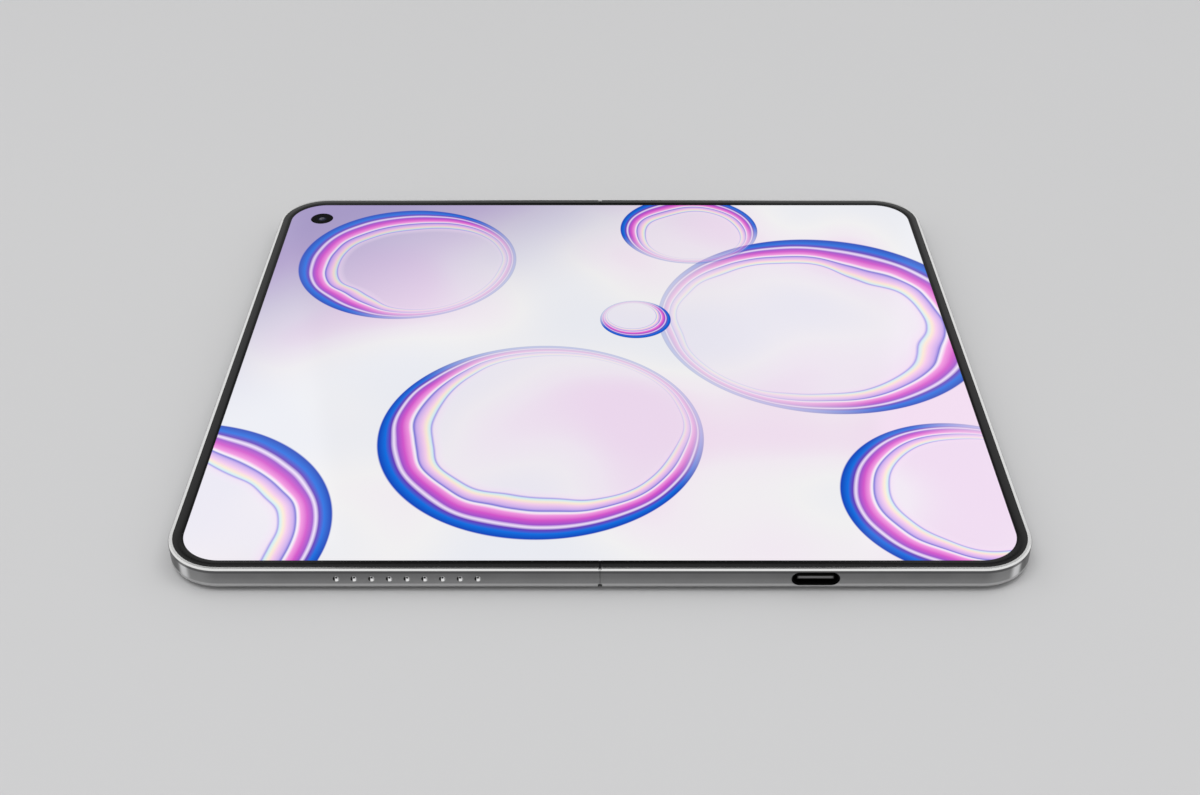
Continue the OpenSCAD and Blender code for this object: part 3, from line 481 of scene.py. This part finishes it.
def satin_glass():
    """Etched back glass: dark, softly reflecting, with a faint glitter and a slow drift in tone."""
    net = Net("back_glass")
    cloud = net.noise(35 * MM, detail=1.0)
    spark = net.noise(0.07 * MM, detail=1.0)
    base = net.mix(net.step(cloud, 0.3, 0.7), (0.075, 0.08, 0.092), (0.105, 0.11, 0.125))
    net.put(Base_Color=net.mix(net.step(spark, 0.62, 0.75, 0.0, 0.4), base, (0.3, 0.31, 0.34)))
    net.put(Metallic=0.35, Roughness=net.step(spark, 0.2, 0.8, 0.3, 0.42))
    net.put(Coat_Weight=0.25, Coat_Roughness=0.25)
    net.bump(spark, 1.5e-6)
    return net.material


LENS_RINGS = [  # grey of the dark rings round a lens, by share of its radius
    (0.42, 0.009), (0.5, 0.02), (0.53, 0.004), (0.72, 0.006), (0.76, 0.012), (0.79, 0.002), (1.0, 0.002),
]


def lens(name, centre, radius, tint, glossy=1.0, tone=1.0):
    """Coated lens: a coloured bloom inside dark rings, glossy out to a share of its radius."""
    net = Net(name)
    share = net.math("DIVIDE", net.distance(centre)[0], radius)
    bloom = [(0.0, tuple(0.5 * c for c in tint)), (0.16, tint), (0.3, (0.01, 0.012, 0.03))]
    rings = net.ramp(share, bloom + [(place, grey(tone * value)) for place, value in LENS_RINGS])[0]
    net.put(Base_Color=rings, Roughness=net.step(net.noise(2 * MM), 0.3, 0.7, 0.14, 0.18), IOR=1.2)
    net.put(Coat_Weight=net.step(share, glossy, glossy * 0.97), Coat_Roughness=0.03)
    net.put(Specular_IOR_Level=0.15)
    return net.material


def hole_lip(first, pitch):
    """Bright metal countersink with painted shade on the left of each hole and at its right edge, in a row
    of holes.
    """
    net = Net("hole_lip")
    shifted = net.math("SUBTRACT", net.x, first - pitch / 2)
    across = net.math("SUBTRACT", net.math("FLOORED_MODULO", shifted, pitch), pitch / 2)
    # painted shade on the left of each hole, and lighter painted shade at its right edge
    lit = net.step(across, -0.3 * MM, -0.16 * MM)
    shaded = net.step(across, 0.3 * MM, 0.42 * MM, 0.0, 0.65)
    fine = net.noise(0.05 * MM)
    metal = net.mix(shaded, net.mix(fine, grey(0.85), grey(0.98)), grey(0.2))
    net.put(Base_Color=net.mix(lit, grey(0.02), metal), Metallic=1.0, Roughness=0.3)
    net.bump(fine, 1e-6)
    return net.material


def port_tongue_painted_highlight():
    """Dark plastic tongue with a painted highlight along the middle of its front."""
    net = Net("port_tongue_painted_highlight")
    low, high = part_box("usb_tongue")
    fine = net.noise(0.1 * MM)
    front = net.step(net.y, low.y + 0.08 * MM, low.y + 0.02 * MM)
    along = net.step(net.off(net.x, (low.x + high.x) / 2), 3.3 * MM, 2.95 * MM)
    upright = net.step(net.off(net.z, MID_Z + 0.03 * MM), 0.32 * MM, 0.16 * MM)
    # painted highlight: lighter grey along the middle of the tongue's front
    pale = net.mix(fine, grey(0.15, 0.002), grey(0.19, 0.002))
    net.put(Base_Color=net.mix(net.product(front, along, upright), grey(0.01), pale))
    net.put(Roughness=net.step(fine, 0.2, 0.8, 0.45, 0.55), Specular_IOR_Level=0.2)
    net.bump(fine, 2e-6)
    return net.material


def turned_metal(name, centre, colour):
    """Metal turned on a lathe: fine rings round centre."""
    net = Net(name)
    pitch = 0.06 * MM
    rings = net.math("SINE", net.math("MULTIPLY", net.distance(centre)[0], 2 * math.pi / pitch))
    tone = net.math("ADD", net.math("MULTIPLY", rings, 0.25), net.noise(0.2 * MM))
    dark = tuple(0.8 * c for c in colour)
    net.put(Base_Color=net.mix(net.step(tone, 0.2, 0.9), dark, colour), Metallic=1.0, Roughness=0.24)
    net.bump(rings, 1.5e-6)
    return net.material


def board_mask():
    """Solder mask with copper pads and traces showing through."""
    net = Net("circuit_board")
    cell = net.node("ShaderNodeTexBrick", net.place)
    cell.inputs["Scale"].default_value = 90.0
    cell.inputs["Mortar Size"].default_value = 0.03
    pads = net.step(net.noise(1.6 * MM, detail=1.0), 0.66, 0.68)
    traces = net.mix(cell.outputs["Fac"], (0.02, 0.11, 0.06), (0.05, 0.2, 0.11))
    net.put(Base_Color=net.mix(pads, traces, (0.55, 0.4, 0.15)), Roughness=0.42)
    net.bump(cell.outputs["Fac"], 1e-5)
    return net.material


def woven_mesh():
    """Black steel mesh: crossed wires."""
    net = Net("speaker_mesh")
    pitch = 0.16 * MM
    across = net.math("SINE", net.math("MULTIPLY", net.x, 2 * math.pi / pitch))
    upright = net.math("SINE", net.math("MULTIPLY", net.z, 2 * math.pi / pitch))
    wires = net.math("MAXIMUM", across, upright)
    net.put(Base_Color=net.mix(net.step(wires, 0.2, 0.9), grey(0.004), grey(0.16, 0.005)))
    net.put(Metallic=1.0, Roughness=0.4)
    net.bump(wires, 4e-5)
    return net.material


GRAINED = {  # the slots whose material is a plain fine grain
    "island_metal": {"colour": (0.36, 0.365, 0.38), "roughness": 0.3, "metallic": 1.0, "grain": 0.12 * MM,
                     "stretch": (1, 0.04, 1)},
    "lens_glass": {"colour": grey(0.01, 0.003), "roughness": 0.06, "contrast": 0.3, "grain": 4 * MM,
                   "depth": 0.0},
    "flash_plastic": {"colour": (0.8, 0.74, 0.5), "roughness": 0.25, "contrast": 0.08, "grain": 0.5 * MM},
    "black_plastic": {"colour": grey(0.02, 0.002), "roughness": 0.5, "grain": 0.12 * MM, "contrast": 0.3,
                      "depth": 4e-6},
    "battery_foil": {"colour": (0.09, 0.095, 0.105), "roughness": 0.35, "metallic": 0.6, "grain": 0.6 * MM,
                     "depth": 8e-6},
    "copper_flex": {"colour": (0.62, 0.36, 0.13), "roughness": 0.3, "metallic": 0.8, "grain": 0.4 * MM,
                    "stretch": (0.05, 1, 1)},
    "hinge_steel": {"colour": grey(0.5, 0.005), "roughness": 0.28, "metallic": 1.0, "grain": 0.08 * MM,
                    "stretch": (1, 0.05, 1)},
    "bezel_black": {"colour": grey(0.003, 0.0002), "roughness": 0.14, "grain": 0.1 * MM, "contrast": 0.25,
                    "depth": 1e-6, "specular": 0.25},
    "cover_display": {"colour": grey(0.01, 0.003), "roughness": 0.15, "grain": 3 * MM, "depth": 0.0},
}
MATERIALS = {slot: grained(slot, **look) for slot, look in GRAINED.items()}
MATERIALS["frame_aluminium"] = frame_metal()
MATERIALS["back_glass"] = satin_glass()
MATERIALS["cover_glass"] = cover_screen_glass()
MATERIALS["circuit_board"] = board_mask()
MATERIALS["inner_display"] = screen()
MATERIALS["speaker_mesh"] = woven_mesh()


def dress_nodes():
    """Every CAD node takes the material of its slot, and the port's pieces one of their own."""
    slots = {part["node"]: part["material_slot"] for part in frame["record"]["subparts"]}
    own = {
        # the port's steel shell is coloured near-black: painted shade of the port's recess
        "usb_shell": grained("port_shell_painted_shade", grey(0.015, 0.001), 0.4, 1.0, 0.1 * MM),
        "usb_tongue": port_tongue_painted_highlight(),
    }
    for name, obj in frame["nodes"].items():
        obj.data.materials.clear()
        obj.data.materials.append(own.get(name, MATERIALS[slots[name]]))


# ---------- Pieces ----------


def bezel(side, body, node):
    """Soft black trim round the picture, with rounded edges."""
    low = SCREEN_HI.z
    r_out, r_in = 0.06 * MM, BEZEL_TOP - low - 0.01 * MM
    profile = [(BEZEL_OUT, low), (BEZEL_OUT, BEZEL_TOP - r_out)]
    profile += [(BEZEL_OUT + r_out * (1 - math.cos(a)), BEZEL_TOP - r_out * (1 - math.sin(a)))
                for a in radians((30, 60, 90))]
    profile += [(BEZEL_IN - r_in * (1 - math.sin(a)), BEZEL_TOP - r_in * (1 - math.cos(a)))
                for a in radians((0, 22, 45, 68, 90))]
    profile.append((BEZEL_IN, low))
    loops = [[Vector((x, y, z)) for x, y in half_outline(side, inset)] for inset, z in profile]
    verts, faces = skin(loops, closed_loops=False, closed_row=True)
    piece(f"bezel_trim_{body}", verts, faces, body, MATERIALS["bezel_black"], [node])


FLEX_T = 0.12 * MM


def bend_strips():
    """The display over the fold, as two flat strips, each divided along x from the outer edge of the bend
    zone to the middle.
    """
    y_span, z_span = (SCREEN_LO.y, SCREEN_HI.y), (SCREEN_LO.z, SCREEN_HI.z)
    display = MATERIALS["inner_display"]
    for side, body in ((-1, "cover_half"), (1, "main_half")):
        verts, faces = slab(side * SCREEN_HI.x, 0.0, y_span, z_span, 48)
        strip = piece(f"display_bend_{body}", verts, faces, body, display,
                      ["display_bend_zone"], rides=False)
        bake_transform(strip)


def flex_strips():
    """The flex cable over the fold, in two flat lengths divided along x, with a leg down at the outer ends.
    """
    low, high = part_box("hinge_flex")
    y_span = (low.y, high.y)
    for side, body in ((-1, "cover_half"), (1, "main_half")):
        cable = slab(side * high.x, 0.0, y_span, (high.z - FLEX_T, high.z), 40)
        leg = slab(side * high.x, side * (high.x - FLEX_T), y_span, (low.z, high.z))
        verts, faces = merged([cable, leg])
        strip = piece(f"flex_cable_{body}", verts, faces, body, MATERIALS["copper_flex"],
                      ["hinge_flex"], rides=False)
        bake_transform(strip)


def seam_gaskets(side, body):
    """Thin fillets on the seam edges of a half, at both ends, that follow the rim's chamfer."""
    x_in, x_out, soft = 0.02 * MM, PIVOT_X, 0.03 * MM
    face, root = HALF_D - 0.04 * MM, HALF_D - 0.62 * MM
    foot, chamfered = BACK_Z + 0.4 * MM, 0.3 * MM
    rows = [(foot, 0.05 * MM), (foot + 0.05 * MM, 0.0), (CHAMFER_Z, 0.0),
            (CHAMFER_Z + chamfered, chamfered)]
    parts = []
    for sign in (-1, 1):
        loops = []
        for z, inset in rows:
            outline = [(x_out, root), (x_out, face - inset), (x_in + soft, face - inset),
                       (x_in, face - soft - inset), (x_in, root)]
            loops.append([Vector((side * x, sign * y, z)) for x, y in outline])
        parts.append(skin(loops))
    verts, faces = merged(parts)
    piece(f"seam_gasket_{body}", verts, faces, body, MATERIALS["frame_aluminium"])


def hole_lips():
    """Countersunk lips in the speaker holes of the near edge, and in the holes of the far edge."""
    r_out, r_in, pitch = 0.6 * MM, 0.2 * MM, 3.2 * MM
    depth, end, sunk = 0.28 * MM, 0.616 * MM, 0.005 * MM
    speaker, top = middle("speaker_mesh").x, middle("top_speaker").x
    for name, body, face_y, centre, count in (
        ("speaker_hole_lips", "cover_half", -HALF_D, speaker, 9),
        ("top_hole_lips", "main_half", HALF_D, top, 5),
    ):
        out = 1 if face_y < 0 else -1
        first = centre - (count - 1) / 2 * pitch
        profile = [(r_out, 0.0), (r_in, -depth), (r_in, -end), (r_out, -end)]
        profile = [(r, out * (h - sunk)) for r, h in profile]
        parts = [lathe(profile, Vector((first + i * pitch, face_y, MID_Z)), axis="y", steps=40, caps=False)
                 for i in range(count)]
        verts, faces = merged(parts)
        piece(name, verts, faces, body, hole_lip(first, pitch))


def port_contacts():
    """Gold contacts on both faces of the port's tongue."""
    low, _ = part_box("usb_tongue")
    count, pitch, width, length, thick = 12, 0.5 * MM, 0.26 * MM, 2.6 * MM, 0.03 * MM
    half_t, set_back = 0.35 * MM, 1.0 * MM
    y0, y1 = low.y + set_back, low.y + set_back + length
    parts = []
    for face in (-1, 1):
        z0, z1 = MID_Z + face * half_t, MID_Z + face * (half_t + thick)
        for i in range(count):
            x = middle("usb_tongue").x + (i - (count - 1) / 2) * pitch
            loops = []
            for z, inset in ((z0, 0.0), (z1, thick)):
                half_w, near, far = width / 2 - inset, y0 + inset, y1 - inset
                corners = ((-half_w, near), (half_w, near), (half_w, far), (-half_w, far))
                loops.append([Vector((x + dx, y, z)) for dx, y in corners])
            parts.append(skin(loops))
    verts, faces = merged(parts)
    gold = grained("contact_gold", (0.32, 0.2, 0.07), 0.35, 1.0, 0.1 * MM)
    piece("port_contacts", verts, faces, "main_half", gold, smooth=False)


KEY_H = 1.9 * MM


def edge_key(name, body, node):
    """Side key with rounded edges, standing out of its slot, on a flange that keeps it in."""
    low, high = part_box(node)
    flange_t, flange_end, flange_up, bevel = 0.4 * MM, 0.375 * MM, 0.1 * MM, 0.14 * MM
    length = high.y - low.y - 2 * flange_end
    y = (low.y + high.y) / 2
    rows = [(low.x, -flange_end, -flange_up), (low.x + flange_t, -flange_end, -flange_up),
            (low.x + flange_t, 0.0, 0.0), (high.x - bevel, 0.0, 0.0)]
    for a in radians((20, 40, 60, 80, 90)):
        inset = bevel * (1 - math.cos(a))
        rows.append((high.x - bevel * (1 - math.sin(a)), inset, inset))
    loops = []
    for x, end_inset, side_inset in rows:
        points = stadium(length - 2 * end_inset, KEY_H - 2 * side_inset)
        loops.append([Vector((x, y + u, MID_Z + v)) for u, v in points])
    verts, faces = skin(loops)
    piece(name, verts, faces, body, MATERIALS["frame_aluminium"], [node])


LENS_TINTS = ((0.02, 0.05, 0.16), (0.07, 0.02, 0.12), (0.02, 0.1, 0.08))
RING_WALL, RING_BEVEL = 1.1 * MM, 0.12 * MM


def ring_profile(r_out, top, bottom):
    """Section of a lens ring with bevelled edges below, closed on itself."""
    r_in, soft = r_out - RING_WALL, RING_BEVEL * 0.3
    profile = [(r_out, top), (r_out, bottom + RING_BEVEL), (r_out - soft, bottom + soft),
               (r_out - RING_BEVEL, bottom), (r_in + RING_BEVEL, bottom), (r_in + soft, bottom + soft),
               (r_in, bottom + RING_BEVEL), (r_in, top)]
    return profile + profile[:1]


def well_profile(r, top, window, aperture):
    """Section of a lens behind its window: a stepped funnel up to a domed glass."""
    depth, edge = top - window, 0.04 * MM
    profile = [(r, top), (r, window + edge), (r - edge, window), (aperture * 1.45, window)]
    profile += [(aperture * wide, window + deep * depth)
                for wide, deep in ((1.4, 0.25), (1.15, 0.32), (1.1, 0.6), (1.0, 0.7))]
    profile += [(aperture * math.cos(a), window + (0.7 - 0.4 * math.sin(a)) * depth)
                for a in radians(range(10, 90, 10))]
    return profile + [(0.02 * MM, window + 0.3 * depth)]


def rear_lenses():
    """Turned lens rings with bevelled edges, and the coated lenses behind their windows."""
    low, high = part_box("camera_rings")
    r_out = (high.x - low.x) / 2
    r_lens = r_out - RING_WALL - 0.05 * MM
    pitch = (high.y - low.y - 2 * r_out) / 2
    window_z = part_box("camera_windows")[0].z
    for i, tint in enumerate(LENS_TINTS):
        centre = Vector(((low.x + high.x) / 2, high.y - r_out - i * pitch, 0))
        verts, faces = lathe(ring_profile(r_out, high.z, low.z), centre, steps=96, caps=False)
        material = turned_metal(f"lens_ring_metal_{i + 1}", centre, (0.5, 0.505, 0.52))
        piece(f"lens_ring_{i + 1}", verts, faces, "main_half", material)
        profile = well_profile(r_lens, high.z, window_z, r_lens * (0.52 - 0.04 * i))
        verts, faces = lathe(profile, centre, steps=72)
        glass = lens(f"lens_coating_{i + 1}", centre, r_lens, tint)
        piece(f"lens_{i + 1}", verts, faces, "main_half", glass)
    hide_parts("camera_rings")
    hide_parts("camera_windows")


def small_lens(name, body, node, outward, tint, glossy):
    """Camera behind a round window: black disc, fine step and a domed lens."""
    low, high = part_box(node)
    centre = Vector(((low.x + high.x) / 2, (low.y + high.y) / 2, 0))
    r, depth = (high.x - low.x) / 2, high.z - low.z
    face = high.z if outward > 0 else low.z
    edge, step, dome = 0.05 * MM, 0.12 * MM, 0.09 * MM
    well, lens_r = 0.42 * r, 0.3 * r

    def at(radius, sunk):
        """Point of the profile, at a depth below the window's outer face."""
        return radius, face - outward * sunk

    profile = [at(r, depth), at(r, edge), at(r - edge, 0), at(well, 0), at(well * 0.92, 0.1 * MM),
               at(lens_r, step)]
    profile += [at(lens_r * math.cos(a), step - dome * math.sin(a)) for a in radians(range(15, 90, 15))]
    profile.append(at(0.01 * MM, step - dome))
    verts, faces = lathe(profile, centre, steps=64)
    coating = lens(f"{name}_coating", centre, r, tint, glossy, tone=0.2)
    piece(name, verts, faces, body, coating, [node])


def flash_lens():
    """Flash diffuser with Fresnel steps."""
    low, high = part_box("flash_window")
    centre = Vector(((low.x + high.x) / 2, (low.y + high.y) / 2, 0))
    r = (high.x - low.x) / 2
    steps, rise, foot = 7, 0.05 * MM, low.z + 0.02 * MM
    profile = [(r, high.z), (r, foot)]
    for k in range(steps):
        outer = r * (1 - k / steps) - 0.05 * MM
        profile += [(outer, foot), (outer - 0.02 * MM, foot + rise)]
    profile.append((0.02 * MM, foot))
    verts, faces = lathe(profile, centre, steps=56)
    piece("flash_lens", verts, faces, "main_half", MATERIALS["flash_plastic"],
          ["flash_window"])


# ---------- Stage ----------

WORLD_LEVEL = 0.78
FLAG_LEVELS = (0.06, 0.42)                   # in the middle of the dark flag and at its sides
FLAG_TOP = (44.5, 43.0)                      # soft edges of the T-shaped flag, in degrees up and sideways
POST_SIDES, POST_FOOT = (13.1, 12.1), (20.0, 24.0)
BAR_SIDES, BAR_FOOT = (27.0, 24.0), (39.0, 40.2)
PALE_SIDES, PALE_TOP = (1.5, 9.5), (36.0, 32.0)  # the post pales to its sides, below its upper part
FLOOR_HALF = 4.0
LENS_MM, SENSOR_MM = 46.194, 36.0
CAMERA_PLACE, LOOK_DOWN = (0, -0.28101, 0.18895), 34.872
SOFTBOX_SIZE = (0.7, 0.7)


def floor():
    """Plain pale floor with a faint cloud in its tone."""
    corners = [(sx * FLOOR_HALF, sy * FLOOR_HALF, 0) for sx, sy in ((-1, -1), (1, -1), (1, 1), (-1, 1))]
    mesh = bpy.data.meshes.new("floor")
    mesh.from_pydata(corners, [], [(0, 1, 2, 3)])
    net = Net("floor")
    cloud = net.noise(0.4, detail=2.0)
    net.put(Base_Color=net.mix(cloud, grey(0.54, 0.005), grey(0.57, 0.005)), Roughness=0.75)
    net.put(Specular_IOR_Level=0.2)
    mesh.materials.append(net.material)
    obj = bpy.data.objects.new("floor", mesh)
    bpy.context.scene.collection.objects.link(obj)


def world():
    """Pale all round, with a dark flag behind the phone for its screen and black border to mirror."""
    net = Net("studio", bpy.data.worlds, "Background", "Generated")
    across = net.off(net.math("ARCTAN2", net.x, net.y))
    upward = net.math("ARCSINE", net.z)

    def edge(angle, low, high):
        """Soft edge between two angles in degrees."""
        return net.step(angle, math.radians(low), math.radians(high))

    top = edge(upward, *FLAG_TOP)
    post = net.product(edge(across, *POST_SIDES), edge(upward, *POST_FOOT), top)
    bar = net.product(edge(across, *BAR_SIDES), edge(upward, *BAR_FOOT), top)
    unseen = net.math("SUBTRACT", 1.0, net.node("ShaderNodeLightPath").outputs["Is Camera Ray"])
    flag = net.math("MULTIPLY", net.math("MAXIMUM", post, bar), unseen)
    fade = net.product(edge(across, *PALE_SIDES), edge(upward, *PALE_TOP))
    dark = net.step(fade, 0.0, 1.0, *FLAG_LEVELS)
    darker = net.math("SUBTRACT", dark, WORLD_LEVEL)
    level = net.math("ADD", net.math("MULTIPLY", flag, darker), WORLD_LEVEL)
    net.set(net.shader.inputs["Color"], level)
    bpy.context.scene.world = net.material


def softbox(name, place, power):
    """Square soft light, turned to the middle of the phone."""
    light = bpy.data.lights.new(name, "AREA")
    light.shape = "RECTANGLE"
    light.size, light.size_y = SOFTBOX_SIZE
    light.energy = power
    obj = bpy.data.objects.new(name, light)
    obj.location = place
    obj.rotation_mode = "QUATERNION"
    obj.rotation_quaternion = (-Vector(place)).to_track_quat("-Z", "Y")
    bpy.context.scene.collection.objects.link(obj)


def camera():
    """The photograph's view: square to the near edge, looking down at the open phone."""
    data = bpy.data.cameras.new("camera")
    data.lens, data.sensor_width, data.sensor_fit = LENS_MM, SENSOR_MM, "HORIZONTAL"
    data.clip_start, data.clip_end = 0.01, 20.0
    obj = bpy.data.objects.new("camera", data)
    obj.location = CAMERA_PLACE
    obj.rotation_euler = (math.radians(90 - LOOK_DOWN), 0, 0)
    bpy.context.scene.collection.objects.link(obj)
    bpy.context.scene.camera = obj


bpy.context.scene.view_settings.view_transform = "Standard"
camera()
world()
floor()
softbox("key", (-0.36, -0.26, 1.25), 4.5)
softbox("fill", (0.5, 0.1, 1.2), 2.5)

dress_nodes()
bezel(1, "main_half", "right_bezel")
bezel(-1, "cover_half", "left_bezel")
bend_strips()
flex_strips()
seam_gaskets(1, "main_half")
seam_gaskets(-1, "cover_half")
hole_lips()
port_contacts()
edge_key("volume_rocker_key", "volume_rocker", "volume_key")
edge_key("power_button_key", "power_button", "power_key")
rear_lenses()
small_lens("punch_camera", "cover_half", "inner_camera_window", 1, (0.03, 0.03, 0.05), 0.25)
small_lens("cover_screen_camera", "cover_half", "cover_camera_window", -1, (0.03, 0.04, 0.08), 0.45)
flash_lens()
